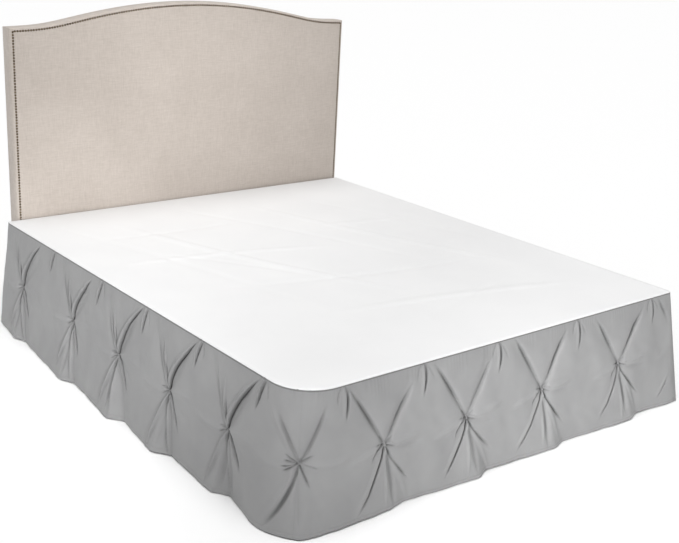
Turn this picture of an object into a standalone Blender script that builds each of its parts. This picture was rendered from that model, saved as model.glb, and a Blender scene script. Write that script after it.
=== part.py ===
"""Pinch-pleated bed skirt on its bed: a white deck cloth and a grey gathered drop on three
sides, over a plain box spring, a steel frame and an upholstered headboard.

Metres, +Z up, +Y towards the head. The origin is on the floor under the middle of the bed.
"""

import math

import bmesh
import bpy
import numpy as np

# Bed and skirt
BED_LENGTH = 2.134
BED_WIDTH = 1.829
DROP = 0.460
LEFT_FOOT_RADIUS = 0.140
RIGHT_FOOT_RADIUS = 0.008
SEAT_GAP = 0.0003

# Cloth
CLOTH = 0.0020
DECK_CLOTH = 0.0015
HEM_CLEARANCE = 0.003
HEM_WAVE = 0.002
HEM_WAVES = 9.0
FLARE = 0.058
END_FLARE = 0.055
PINCH_CORE = 0.007
PINCH_PULL = 0.014
PINCH_PULL_REACH = 0.035
PUFF = 0.014
PUFF_EDGE = 0.024
UPPER_PUFF = 0.009
UPPER_EDGE = 0.018
UPPER_FOLD = 0.011
LOWER_FOLD = 0.008
FOLD_WIDTH = 0.012
FALL_LEFT = 0.105
FALL_RIGHT = 0.062
ARM_REACH = 0.74
END_HANG = 0.150
CORNER_FLARE = 0.070
CORNER_HOLD = 0.036
TUCK_DEPTH = 0.012
TUCK_WIDTH = 0.011
TUCK_FALL = 0.120
TUCK_START = 0.12

# Box spring and steel frame
SPRING_INSET = 0.006
SPRING_BOTTOM = 0.215
SPRING_EDGE = 0.010
RAIL_HALF_SPACING = 0.870
RAIL_FLANGE = 0.040
RAIL_STEEL = 0.003
RAIL_END_INSET = 0.060
CROSS_WIDTH = 0.030
CROSS_INSET = 0.300
LEG_RADIUS = 0.019
FOOT_RADIUS = 0.030
FOOT_HEIGHT = 0.018

# Headboard
BOARD_HALF_WIDTH = 0.893
BOARD_CENTRE_X = 0.026
BOARD_THICKNESS = 0.080
BOARD_BOTTOM = 0.300
BOARD_SHOULDER = 1.290
BOARD_RISE = 0.100
BOARD_ARCH_RADIUS = 2.500
BOARD_BLEND = 0.030
BOARD_TRIM = 0.004
BOARD_EDGE = 0.012
BOARD_GAP = 0.012
POST_HALF_SPACING = 0.700
POST_WIDTH = 0.060
POST_DEPTH = 0.032
BRACKET_WIDTH = 0.050
BRACKET_STEEL = 0.004

FOOT_Y = -BED_LENGTH / 2
HEAD_Y = BED_LENGTH / 2
HALF_WIDTH = BED_WIDTH / 2

# Distance along the top edge of the drop, from the head end of the left side
LEFT_RUN = BED_LENGTH - LEFT_FOOT_RADIUS
LEFT_ARC = math.pi / 2 * LEFT_FOOT_RADIUS
FOOT_RUN = BED_WIDTH - LEFT_FOOT_RADIUS - RIGHT_FOOT_RADIUS
RIGHT_ARC = math.pi / 2 * RIGHT_FOOT_RADIUS
RIGHT_RUN = BED_LENGTH - RIGHT_FOOT_RADIUS
RIGHT_CORNER = LEFT_RUN + LEFT_ARC + FOOT_RUN + RIGHT_ARC / 2
RUN_LENGTH = LEFT_RUN + LEFT_ARC + FOOT_RUN + RIGHT_ARC + RIGHT_RUN

# One row for each pinch: run (distance along the edge), height, puff (share of the
# swelling beside it), ridge (how far past it the hem stands out most), hem offset there,
# and hem offset where the cloth has fallen back
PINCHES = (
    (0.200, 0.226, 0.70, 0.014, 0.086, 0.061),
    (0.683, 0.229, 0.80, 0.032, 0.108, 0.074),
    (1.064, 0.219, 0.70, 0.052, 0.114, 0.070),
    (1.435, 0.218, 0.75, 0.006, 0.106, 0.062),
    (1.803, 0.224, 0.70, -0.020, 0.080, 0.040),
    (2.106, 0.224, 0.60, 0.012, 0.102, 0.066),
    (2.400, 0.224, 0.65, 0.020, 0.066, 0.046),
    (2.765, 0.222, 0.75, 0.044, 0.078, 0.050),
    (3.144, 0.234, 0.80, 0.060, 0.076, 0.052),
    (3.583, 0.234, 0.75, 0.064, 0.082, 0.054),
    (3.965, 0.228, 0.40, 0.016, 0.074, 0.056),
    (4.335, 0.226, 0.75, 0.028, 0.096, 0.060),
    (4.710, 0.222, 0.70, 0.040, 0.106, 0.066),
    (5.085, 0.229, 0.75, 0.012, 0.092, 0.058),
    (5.460, 0.224, 0.80, 0.034, 0.102, 0.064),
    (5.830, 0.226, 0.70, 0.020, 0.086, 0.060),
)
# Distance along the edge of the small tucks in the top seam, one between each two pinches
TUCKS = (
    0.479, 0.897, 1.241, 1.607, 1.973, 2.244, 2.572, 2.920,
    3.333, 3.775, 4.150, 4.523, 4.898, 5.273, 5.645,
)
LEFT_SEAM = PINCHES[5][0]
RIGHT_SEAM = PINCHES[10][0]

# Shares of the way from the pinch's axis to a fold, and from the fold to the tuck's axis
INNER_COLUMNS = (0.0, 0.40, 0.75, 1.0)
OUTER_COLUMNS = (0.12, 0.34, 0.66, 0.88, 1.0)
# The same where the square corner of the bed stands between a pinch and its tuck: upright
# lines, as shares of the way from the pinch to the corner, and from there to the tuck
BEFORE_CORNER = (0.0, 0.25, 0.50, 0.75, 0.90)
PAST_CORNER = (0.0, 0.06, 0.20, 0.45, 0.75, 1.0)
# Shares of the height above the pinch, from the top seam down, and of the height below it
UPPER_ROWS = (1.0, 0.88, 0.70, 0.50, 0.32, 0.15, 0.0)
LOWER_ROWS = (0.14, 0.34, 0.56, 0.78, 1.0)


def edge_point(run):
    """Place on the deck's edge and the direction that faces out there."""
    if run < LEFT_RUN:
        return (-HALF_WIDTH, HEAD_Y - run), (-1.0, 0.0)
    run -= LEFT_RUN
    if run < LEFT_ARC:
        return corner_point(-1, LEFT_FOOT_RADIUS, math.pi + run / LEFT_FOOT_RADIUS)
    run -= LEFT_ARC
    if run < FOOT_RUN:
        return (-HALF_WIDTH + LEFT_FOOT_RADIUS + run, FOOT_Y), (0.0, -1.0)
    run -= FOOT_RUN
    if run < RIGHT_ARC:
        point, out = corner_point(1, RIGHT_FOOT_RADIUS, 1.5 * math.pi + run / RIGHT_FOOT_RADIUS)
        square = max(abs(out[0]), abs(out[1]))
        return point, (out[0] / square, out[1] / square)
    run -= RIGHT_ARC
    return (HALF_WIDTH, FOOT_Y + RIGHT_FOOT_RADIUS + run), (1.0, 0.0)


def corner_point(side, radius, angle):
    out = (math.cos(angle), math.sin(angle))
    centre = (side * (HALF_WIDTH - radius), FOOT_Y + radius)
    return (centre[0] + radius * out[0], centre[1] + radius * out[1]), out


def rise_from(distance, edge):
    """0 at a fold, with a steep start, and 1 well away from it."""
    return 1.0 - math.exp(-max(distance, 0.0) / edge)


def hem_profile():
    """Runs and outward offsets of the hem: it stands out slowly, then falls back."""
    runs, offsets = [0.0], [END_FLARE]
    for run, _, _, ridge, peak, trough in PINCHES:
        runs += [run + ridge, run + ridge + FALL_RIGHT]
        offsets += [peak, trough]
    return [*runs, RUN_LENGTH], [*offsets, END_FLARE]


HEM_RUNS, HEM_OFFSETS = hem_profile()


def hem_fold(side, reach, pinch):
    """How far from a pinch's axis its lower fold meets the hem."""
    if side < 0:
        return min(FALL_LEFT, 0.60 * reach)
    return min(max(0.035, pinch[3] + FALL_RIGHT), 0.75 * reach)


def fold_line(side, reach, above, below, pinch):
    """How far a pinch's fold lies from the pinch's axis at a height."""
    if below <= 0.0:
        return PINCH_CORE + (ARM_REACH * reach - PINCH_CORE) * above
    return PINCH_CORE + (hem_fold(side, reach, pinch) - PINCH_CORE) * below**0.9


def hem_swing(side, reach, below, away, pinch):
    """What the hem's own shape adds at a height, drawn in towards the pinch."""
    at_hem = hem_fold(side, reach, pinch)
    fold = fold_line(side, reach, 0.0, below, pinch)
    if away <= fold:
        across = away * at_hem / fold
    else:
        across = at_hem + (away - fold) * (reach - at_hem) / (reach - fold)
    hem = np.interp(pinch[0] + side * across, HEM_RUNS, HEM_OFFSETS)
    return (float(hem) - FLARE) * below


def cloth_offset(side, reach, above, below, away, pinch, tucked):
    """How far the cloth stands out from the deck's edge, away metres beside a pinch."""
    run, height, puff = pinch[:3]
    run += side * away
    climb = above * (DROP - height) if below <= 0.0 else -below * height
    fold = fold_line(side, reach, above, below, pinch)
    out = FLARE * (1.0 - (height + climb) / DROP)
    groove = puff * math.exp(-abs(away - fold) / FOLD_WIDTH)
    if above > 0.0:
        out -= UPPER_FOLD * math.sin(math.pi * above**0.8) * groove
    if below > 0.0:
        out += hem_swing(side, reach, below, away, pinch)
        out -= LOWER_FOLD * math.sin(math.pi * below) * groove
    if away > fold:
        hang = min(1.0, min(run, RUN_LENGTH - run) / END_HANG)
        swell = hang * (1.0 - above**2) * (1.0 - below) ** 1.2
        out += PUFF * puff * swell * rise_from(away - fold, PUFF_EDGE)
    elif below <= 0.0:
        swell = math.sin(math.pi * above**0.8)
        out += UPPER_PUFF * swell * rise_from(fold - away, UPPER_EDGE)
    if tucked and above > 0.0:
        fall = max(0.0, 1.0 - (1.0 - above) * (DROP - height) / TUCK_FALL)
        near_seam = min(1.0, (1.0 - above) / TUCK_START)
        notch = math.exp(-(((reach - away) / TUCK_WIDTH) ** 2))
        out -= TUCK_DEPTH * notch * fall * near_seam
    pull = math.exp(-(climb**2 + away**2) / PINCH_PULL_REACH**2)
    out -= PINCH_PULL * pull
    held = math.exp(-(((run - RIGHT_CORNER) / CORNER_HOLD) ** 2))
    straight = CORNER_FLARE * (1.0 - (height + climb) / DROP)
    return max(out + held * (straight - out), SEAT_GAP)


def column_of(pinch, side, reach, place, tucked):
    """(run, height, offset) of the points down one line of the cloth."""
    run, height = pinch[0], pinch[1]
    points = []
    for above, below in [(a, 0.0) for a in UPPER_ROWS] + [(0.0, b) for b in LOWER_ROWS]:
        away = place(fold_line(side, reach, above, below, pinch))
        wave = HEM_CLEARANCE + HEM_WAVE * (1.0 + math.sin(HEM_WAVES * (run + side * away)))
        z = height + above * (DROP - height) - below * (height - wave)
        offset = cloth_offset(side, reach, above, below, away, pinch, tucked)
        points.append((run + side * away, z, offset))
    return points


def half_columns(pinch, axis_run, tucked, from_axis):
    """The cloth's lines between a pinch and the axis of its neighbouring tuck or end."""
    side = 1 if axis_run > pinch[0] else -1
    reach = abs(axis_run - pinch[0])
    corner = abs(RIGHT_CORNER - pinch[0])
    if min(pinch[0], axis_run) < RIGHT_CORNER < max(pinch[0], axis_run):
        places = [lambda fold, s=s: s * corner for s in BEFORE_CORNER]
        places += [lambda fold, s=s: corner + s * (reach - corner) for s in PAST_CORNER]
    else:
        places = [lambda fold, s=s: s * fold for s in INNER_COLUMNS]
        places += [lambda fold, s=s: fold + s * (reach - fold) for s in OUTER_COLUMNS]
    columns = [column_of(pinch, side, reach, place, tucked) for place in places]
    return columns[::-1] if from_axis else columns


def merged(first, second):
    """One line where two halves meet, halfway between them."""
    return [tuple((a + b) / 2 for a, b in zip(p, q)) for p, q in zip(first, second)]


def drop_columns():
    """All the lines of the drop, from the head end of the left side to the right's."""
    axes = (0.0, *TUCKS, RUN_LENGTH)
    columns = []
    for i, pinch in enumerate(PINCHES):
        before = half_columns(pinch, axes[i], i > 0, True)
        after = half_columns(pinch, axes[i + 1], i < len(PINCHES) - 1, False)
        if columns:
            columns[-1] = merged(columns[-1], before[0])
            before = before[1:]
        columns += before + after[1:]
    return columns


def cloth_point(run, z, offset):
    (x, y), (out_x, out_y) = edge_point(min(max(run, 0.0), RUN_LENGTH))
    return (x + out_x * offset, y + out_y * offset, z)


def add_object(name, mesh, material, smooth_angle=None):
    obj = bpy.data.objects.new(name, mesh)
    bpy.context.scene.collection.objects.link(obj)
    mesh.materials.append(material)
    if smooth_angle is not None:
        mesh.shade_smooth()
        mesh.set_sharp_from_angle(angle=math.radians(smooth_angle))
    return obj


def mesh_from(bm, name):
    mesh = bpy.data.meshes.new(name)
    bm.to_mesh(mesh)
    bm.free()
    return mesh


def sheet_object(name, inner, outer, material):
    """A closed sheet from two grids of points, with the same diagonals on both faces."""
    bm = bmesh.new()
    layers = [[[bm.verts.new(p) for p in line] for line in grid] for grid in (inner, outer)]
    inside, outside = layers
    last_line, last_row = len(inner) - 1, len(inner[0]) - 1
    for i in range(last_line):
        for j in range(last_row):
            a, b = (i, j), (i + 1, j)
            c, d = (i + 1, j + 1), (i, j + 1)
            first = (outside[a[0]][a[1]].co - outside[c[0]][c[1]].co).length
            second = (outside[b[0]][b[1]].co - outside[d[0]][d[1]].co).length
            corners = ((a, b, c), (a, c, d)) if first <= second else ((a, b, d), (b, c, d))
            for p, q, r in corners:
                bm.faces.new((outside[p[0]][p[1]], outside[r[0]][r[1]], outside[q[0]][q[1]]))
                bm.faces.new((inside[p[0]][p[1]], inside[q[0]][q[1]], inside[r[0]][r[1]]))
    rim = [(i, 0) for i in range(last_line)] + [(last_line, j) for j in range(last_row)]
    rim += [(i, last_row) for i in range(last_line, 0, -1)]
    rim += [(0, j) for j in range(last_row, 0, -1)]
    for (i, j), (k, m) in zip(rim, rim[1:] + rim[:1]):
        bm.faces.new((outside[i][j], outside[k][m], inside[k][m], inside[i][j]))
    bmesh.ops.recalc_face_normals(bm, faces=bm.faces)
    return add_object(name, mesh_from(bm, name), material, 40)


def drop_panel(name, columns, start, end, material):
    """One cut length of the drop, between two seams or free ends."""
    lines = [line for line in columns if start <= line[0][0] <= end]
    lines[0] = [(run + SEAT_GAP / 2, z, offset) for run, z, offset in lines[0]]
    lines[-1] = [(run - SEAT_GAP / 2, z, offset) for run, z, offset in lines[-1]]
    inner = [[cloth_point(run, z, offset) for run, z, offset in line] for line in lines]
    outer = [[cloth_point(run, z, offset + CLOTH) for run, z, offset in line] for line in lines]
    return sheet_object(name, inner, outer, material)


def bed_outline(inset, arc_steps=8):
    """The plan of the bed, drawn in by inset, with its two rounded foot corners."""
    half, head, foot = HALF_WIDTH - inset, HEAD_Y - inset, FOOT_Y + inset
    points = [(half, head), (-half, head)]
    for side, radius, start in ((-1, LEFT_FOOT_RADIUS, 1.0), (1, RIGHT_FOOT_RADIUS, 1.5)):
        centre = (side * (HALF_WIDTH - radius), FOOT_Y + radius)
        for i in range(arc_steps + 1):
            angle = math.pi * (start + i / arc_steps / 2)
            x = centre[0] + (radius - inset) * math.cos(angle)
            y = centre[1] + (radius - inset) * math.sin(angle)
            points.append((max(-half, min(half, x)), max(foot, y)))
    return points


def slab(name, outline, bottom, top, material, edge=0.0):
    """An outline in plan, extruded upwards, with its edges rounded off."""
    bm = bmesh.new()
    face = bm.faces.new([bm.verts.new((x, y, bottom)) for x, y in outline])
    made = bmesh.ops.extrude_face_region(bm, geom=[face])
    risen = [v for v in made["geom"] if isinstance(v, bmesh.types.BMVert)]
    bmesh.ops.translate(bm, verts=risen, vec=(0.0, 0.0, top - bottom))
    bmesh.ops.recalc_face_normals(bm, faces=bm.faces)
    obj = add_object(name, mesh_from(bm, name), material, 30)
    if edge:
        bevel = obj.modifiers.new("edge", "BEVEL")
        bevel.width = edge
        bevel.segments = 2
        bevel.limit_method = "ANGLE"
        bevel.angle_limit = math.radians(50)
    return obj


def block(name, low, high, material):
    corners = [(low[0], low[1]), (high[0], low[1]), (high[0], high[1]), (low[0], high[1])]
    return slab(name, corners, low[2], high[2], material)


def side_rail(name, side, material):
    """A steel angle: a flange under the box spring and a web that hangs from it."""
    outer, inner = RAIL_HALF_SPACING, RAIL_HALF_SPACING - RAIL_FLANGE
    top = SPRING_BOTTOM - SEAT_GAP
    section = (
        (outer, top), (inner, top), (inner, top - RAIL_STEEL),
        (outer - RAIL_STEEL, top - RAIL_STEEL), (outer - RAIL_STEEL, top - RAIL_FLANGE),
        (outer, top - RAIL_FLANGE),
    )
    bm = bmesh.new()
    start = FOOT_Y + RAIL_END_INSET
    face = bm.faces.new([bm.verts.new((side * x, start, z)) for x, z in section])
    made = bmesh.ops.extrude_face_region(bm, geom=[face])
    moved = [v for v in made["geom"] if isinstance(v, bmesh.types.BMVert)]
    bmesh.ops.translate(bm, verts=moved, vec=(0.0, BED_LENGTH - 2 * RAIL_END_INSET, 0.0))
    bmesh.ops.recalc_face_normals(bm, faces=bm.faces)
    return add_object(name, mesh_from(bm, name), material)


def leg(name, x, y, top, material):
    """A round steel leg on a wider glide, turned about its own axis."""
    profile = (
        (0.0, 0.0), (FOOT_RADIUS, 0.0), (FOOT_RADIUS, FOOT_HEIGHT * 0.6),
        (LEG_RADIUS, FOOT_HEIGHT), (LEG_RADIUS, top), (0.0, top),
    )
    bm = bmesh.new()
    points = [bm.verts.new((r, 0.0, z)) for r, z in profile]
    edges = [bm.edges.new(pair) for pair in zip(points, points[1:])]
    bmesh.ops.spin(
        bm, geom=points + edges, cent=(0, 0, 0), axis=(0, 0, 1), angle=math.tau,
        steps=16, use_merge=True,
    )
    bmesh.ops.remove_doubles(bm, verts=bm.verts, dist=1e-6)
    bmesh.ops.recalc_face_normals(bm, faces=bm.faces)
    obj = add_object(name, mesh_from(bm, name), material, 30)
    obj.location = (x, y, 0.0)
    return obj


def board_top(x):
    """Height of the headboard's camelback edge: flat shoulders and a broad arch."""
    arch = BOARD_RISE - x * x / (2 * BOARD_ARCH_RADIUS)
    return BOARD_SHOULDER + (arch + math.hypot(arch, BOARD_BLEND)) / 2 - BOARD_TRIM


def headboard(material, steps=48):
    half = BOARD_HALF_WIDTH
    outline = [(half, BOARD_BOTTOM), (-half, BOARD_BOTTOM)]
    for i in range(steps + 1):
        x = -half + 2 * half * i / steps
        outline.append((x, board_top(x)))
    front = HEAD_Y + BOARD_GAP
    bm = bmesh.new()
    face = bm.faces.new([bm.verts.new((BOARD_CENTRE_X + x, front, z)) for x, z in outline])
    made = bmesh.ops.extrude_face_region(bm, geom=[face])
    moved = [v for v in made["geom"] if isinstance(v, bmesh.types.BMVert)]
    bmesh.ops.translate(bm, verts=moved, vec=(0.0, BOARD_THICKNESS, 0.0))
    bmesh.ops.recalc_face_normals(bm, faces=bm.faces)
    obj = add_object("headboard", mesh_from(bm, "headboard"), material, 40)
    bevel = obj.modifiers.new("edge", "BEVEL")
    bevel.width = BOARD_EDGE
    bevel.segments = 2
    bevel.limit_method = "ANGLE"
    bevel.angle_limit = math.radians(50)
    return obj


def principled(name, colour, roughness, metallic=0.0):
    material = bpy.data.materials.new(name)
    material.use_nodes = True
    shader = material.node_tree.nodes["Principled BSDF"]
    shader.inputs["Base Color"].default_value = (*colour, 1.0)
    shader.inputs["Roughness"].default_value = roughness
    shader.inputs["Metallic"].default_value = metallic
    return material


def build_skirt():
    grey = principled("skirt_cloth", (0.36, 0.36, 0.36), 0.75)
    white = principled("deck_cloth", (0.88, 0.88, 0.88), 0.85)
    columns = drop_columns()
    top_edge = [cloth_point(line[0][0], DROP, 0.0)[:2] for line in columns]
    slab("deck_panel", top_edge, DROP - DECK_CLOTH, DROP, white)
    drop_panel("drop_left", columns, 0.0, LEFT_SEAM, grey)
    drop_panel("drop_foot", columns, LEFT_SEAM, RIGHT_SEAM, grey)
    drop_panel("drop_right", columns, RIGHT_SEAM, RUN_LENGTH, grey)


def build_base():
    cover = principled("spring_cover", (0.70, 0.70, 0.68), 0.85)
    steel = principled("frame_steel", (0.045, 0.045, 0.050), 0.45, 0.6)
    spring_top = DROP - DECK_CLOTH - SEAT_GAP
    slab("box_spring", bed_outline(SPRING_INSET), SPRING_BOTTOM, spring_top, cover, SPRING_EDGE)
    side_rail("rail_left", -1, steel)
    side_rail("rail_right", 1, steel)
    under_flange = SPRING_BOTTOM - SEAT_GAP - RAIL_STEEL - SEAT_GAP
    cross_bottom = under_flange - RAIL_FLANGE + RAIL_STEEL
    reach = RAIL_HALF_SPACING - RAIL_STEEL - SEAT_GAP
    rows = (("head", HEAD_Y - CROSS_INSET), ("middle", 0.0), ("foot", FOOT_Y + CROSS_INSET))
    for row, y in rows:
        block(
            f"cross_{row}", (-reach, y - CROSS_WIDTH / 2, cross_bottom),
            (reach, y + CROSS_WIDTH / 2, under_flange), steel,
        )
        leg(f"leg_{row}_centre", 0.0, y, cross_bottom - SEAT_GAP, steel)
        beside = RAIL_HALF_SPACING - RAIL_FLANGE / 2
        leg(f"leg_{row}_left", -beside, y, cross_bottom - SEAT_GAP, steel)
        leg(f"leg_{row}_right", beside, y, cross_bottom - SEAT_GAP, steel)


def build_headboard():
    linen = principled("headboard_linen", (0.60, 0.54, 0.48), 0.85)
    wood = principled("post_wood", (0.30, 0.18, 0.10), 0.6)
    steel = principled("bracket_steel", (0.045, 0.045, 0.050), 0.45, 0.6)
    headboard(linen)
    post_front = HEAD_Y + BOARD_GAP + (BOARD_THICKNESS - POST_DEPTH) / 2
    rail_end = HEAD_Y - RAIL_END_INSET
    for name, side in (("left", -1), ("right", 1)):
        x = BOARD_CENTRE_X + side * POST_HALF_SPACING
        block(
            f"post_{name}", (x - POST_WIDTH / 2, post_front, 0.0),
            (x + POST_WIDTH / 2, post_front + POST_DEPTH, BOARD_BOTTOM - SEAT_GAP), wood,
        )
        bracket(f"bracket_{name}", side, x, rail_end, post_front, steel)


def bracket(name, side, post_x, rail_end, post_front, material):
    """A flat steel arm from a side rail's end, bent in along the head to its post."""
    rail_x = side * RAIL_HALF_SPACING
    near, far = rail_end + SEAT_GAP, post_front - SEAT_GAP
    inside = post_x - side * POST_WIDTH / 2
    t = BRACKET_STEEL
    outline = [
        (rail_x, near), (rail_x, far), (inside, far), (inside, far - t),
        (rail_x - side * t, far - t), (rail_x - side * t, near),
    ]
    top = SPRING_BOTTOM - SEAT_GAP
    return slab(name, outline, top - BRACKET_WIDTH, top, material)


def main():
    for obj in list(bpy.data.objects):
        bpy.data.objects.remove(obj, do_unlink=True)
    build_skirt()
    build_base()
    build_headboard()


main()
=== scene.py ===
import math

import bmesh
import bpy
import numpy as np
from mathutils import Matrix, Vector


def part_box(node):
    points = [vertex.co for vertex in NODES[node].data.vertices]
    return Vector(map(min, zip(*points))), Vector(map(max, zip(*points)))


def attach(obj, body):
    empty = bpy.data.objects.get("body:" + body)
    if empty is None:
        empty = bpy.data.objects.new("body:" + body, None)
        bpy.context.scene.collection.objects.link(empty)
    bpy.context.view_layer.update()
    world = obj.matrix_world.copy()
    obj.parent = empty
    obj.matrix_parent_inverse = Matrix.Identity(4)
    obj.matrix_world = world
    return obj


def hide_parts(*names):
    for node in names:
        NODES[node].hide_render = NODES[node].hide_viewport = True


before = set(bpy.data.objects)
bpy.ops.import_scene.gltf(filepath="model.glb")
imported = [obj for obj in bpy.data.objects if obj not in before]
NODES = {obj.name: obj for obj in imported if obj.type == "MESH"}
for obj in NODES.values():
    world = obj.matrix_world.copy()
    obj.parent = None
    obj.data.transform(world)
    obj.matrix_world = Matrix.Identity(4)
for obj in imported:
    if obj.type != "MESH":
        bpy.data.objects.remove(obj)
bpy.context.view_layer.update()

# Bed and skirt, as in the solids
BED_LENGTH = 2.134
BED_WIDTH = 1.829
DROP = 0.460
LEFT_FOOT_RADIUS = 0.140
RIGHT_FOOT_RADIUS = 0.008
HALF_WIDTH = BED_WIDTH / 2
HEAD_Y = BED_LENGTH / 2
FOOT_Y = -BED_LENGTH / 2
HEM_CLEARANCE = 0.003
HEM_WAVE = 0.002
FLARE = 0.058
END_FLARE = 0.055
PINCH_CORE = 0.007
PUFF = 0.014
PUFF_EDGE = 0.024
UPPER_PUFF = 0.009
UPPER_EDGE = 0.018
FALL_LEFT = 0.105
FALL_RIGHT = 0.062
ARM_REACH = 0.74
END_HANG = 0.150
CORNER_FLARE = 0.070
CORNER_HOLD = 0.036

# Distance along the deck's edge, from the head end of the left side
LEFT_RUN = BED_LENGTH - LEFT_FOOT_RADIUS
LEFT_ARC = math.pi / 2 * LEFT_FOOT_RADIUS
FOOT_RUN = BED_WIDTH - LEFT_FOOT_RADIUS - RIGHT_FOOT_RADIUS
RIGHT_ARC = math.pi / 2 * RIGHT_FOOT_RADIUS
RIGHT_RUN = BED_LENGTH - RIGHT_FOOT_RADIUS
RIGHT_CORNER = LEFT_RUN + LEFT_ARC + FOOT_RUN + RIGHT_ARC / 2
RUN_LENGTH = LEFT_RUN + LEFT_ARC + FOOT_RUN + RIGHT_ARC + RIGHT_RUN

# run, height, puff, ridge, hem offset at the ridge, hem offset past it
PINCHES = (
    (0.200, 0.226, 0.70, 0.014, 0.086, 0.061),
    (0.683, 0.229, 0.80, 0.032, 0.108, 0.074),
    (1.064, 0.219, 0.70, 0.052, 0.114, 0.070),
    (1.435, 0.218, 0.75, 0.006, 0.106, 0.062),
    (1.803, 0.224, 0.70, -0.020, 0.080, 0.040),
    (2.106, 0.224, 0.60, 0.012, 0.102, 0.066),
    (2.400, 0.224, 0.65, 0.020, 0.066, 0.046),
    (2.765, 0.222, 0.75, 0.044, 0.078, 0.050),
    (3.144, 0.234, 0.80, 0.060, 0.076, 0.052),
    (3.583, 0.234, 0.75, 0.064, 0.082, 0.054),
    (3.965, 0.228, 0.40, 0.016, 0.074, 0.056),
    (4.335, 0.226, 0.75, 0.028, 0.096, 0.060),
    (4.710, 0.222, 0.70, 0.040, 0.106, 0.066),
    (5.085, 0.229, 0.75, 0.012, 0.092, 0.058),
    (5.460, 0.224, 0.80, 0.034, 0.102, 0.064),
    (5.830, 0.226, 0.70, 0.020, 0.086, 0.060),
)
TUCKS = (
    0.479, 0.897, 1.241, 1.607, 1.973, 2.244, 2.572, 2.920,
    3.333, 3.775, 4.150, 4.523, 4.898, 5.273, 5.645,
)
LEFT_SEAM = PINCHES[5][0]
RIGHT_SEAM = PINCHES[10][0]

# Creases that start at a pinch, in metres along the edge and up from it: the place half
# way, the end, the width on the head side and on the other, depth (below zero is a
# ridge), height of the ridge on the head side, how far that ridge leans over, and the
# share of the length over which the crease grows from the pinch
LEFT_CREASES = (
    (0.044, 0.110, 0.156, 0.226, 0.0030, 0.0042, 0.0190, 0.0085, 0.0045, 0.12),
    (0.042, 0.100, 0.132, 0.200, 0.0040, 0.0300, 0.0065, 0.0, 0.0, 0.30),
    (-0.010, 0.050, -0.026, 0.125, 0.0040, 0.0040, 0.0100, 0.0010, 0.0, 0.12),
    (-0.040, 0.070, -0.095, 0.190, 0.0040, 0.0040, -0.0060, 0.0, 0.0, 0.30),
    (-0.024, 0.078, -0.060, 0.200, 0.0040, 0.0040, -0.0060, 0.0, 0.0, 0.30),
    (0.050, -0.048, 0.104, -0.130, 0.0035, 0.0075, 0.0095, 0.0030, 0.0, 0.12),
    (0.032, -0.100, 0.072, -0.240, 0.0055, 0.0055, -0.0105, 0.0, 0.0, 0.12),
    (-0.022, -0.090, -0.056, -0.240, 0.0055, 0.0055, -0.0105, 0.0, 0.0, 0.12),
    (0.004, -0.090, 0.010, -0.240, 0.0120, 0.0170, 0.0110, 0.0, 0.0, 0.12),
    (0.010, -0.022, 0.006, -0.050, 0.0030, 0.0030, 0.0050, 0.0, 0.0, 0.12),
    (-0.020, 0.004, -0.040, 0.004, 0.0026, 0.0026, 0.0050, 0.0015, 0.0, 0.12),
    (-0.018, -0.010, -0.034, -0.022, 0.0026, 0.0026, 0.0050, 0.0015, 0.0, 0.12),
    (0.012, 0.004, 0.026, 0.010, 0.0030, 0.0030, -0.0030, 0.0, 0.0, 0.12),
    (0.010, -0.008, 0.020, -0.020, 0.0030, 0.0030, -0.0030, 0.0, 0.0, 0.12),
    (-0.080, -0.016, -0.170, -0.014, 0.0150, 0.0150, -0.0050, 0.0, 0.0, 0.12),
    (0.075, 0.016, 0.165, 0.010, 0.0150, 0.0150, -0.0045, 0.0, 0.0, 0.12),
    (0.070, -0.030, 0.150, -0.060, 0.0140, 0.0140, 0.0030, 0.0, 0.0, 0.12),
)
CORNER_CREASES = (
    (-0.040, 0.074, -0.100, 0.180, 0.0060, 0.0080, -0.0042, 0.0, 0.0, 0.12),
    (-0.030, 0.076, -0.078, 0.180, 0.0060, 0.0100, 0.0062, 0.0, 0.0, 0.12),
    (0.032, 0.074, 0.072, 0.200, 0.0070, 0.0060, 0.0090, 0.0, 0.0, 0.12),
    (0.040, 0.074, 0.088, 0.185, 0.0060, 0.0060, -0.0025, 0.0, 0.0, 0.12),
    (-0.017, -0.100, -0.062, -0.226, 0.0050, 0.0062, 0.0125, 0.0055, 0.0, 0.18),
    (0.014, -0.030, 0.034, -0.072, 0.0030, 0.0040, 0.0090, 0.0, 0.0, 0.12),
    (0.012, -0.110, 0.022, -0.220, 0.0070, 0.0120, 0.0065, 0.0040, 0.0, 0.30),
    (-0.022, 0.003, -0.042, 0.008, 0.0030, 0.0030, 0.0070, 0.0015, 0.0, 0.12),
    (-0.024, -0.006, -0.048, -0.008, 0.0030, 0.0030, 0.0070, 0.0015, 0.0, 0.12),
    (-0.022, -0.014, -0.040, -0.024, 0.0030, 0.0030, 0.0060, 0.0015, 0.0, 0.12),
    (-0.020, 0.014, -0.036, 0.032, 0.0030, 0.0030, 0.0040, 0.0, 0.0, 0.12),
    (0.018, 0.016, 0.038, 0.034, 0.0030, 0.0030, 0.0050, 0.0, 0.0, 0.12),
    (0.028, -0.004, 0.055, -0.016, 0.0030, 0.0030, 0.0040, 0.0, 0.0, 0.12),
    (-0.080, -0.012, -0.160, 0.006, 0.0140, 0.0140, -0.0050, 0.0, 0.0, 0.12),
    (0.080, -0.006, 0.160, 0.006, 0.0140, 0.0140, -0.0050, 0.0, 0.0, 0.12),
)
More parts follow.
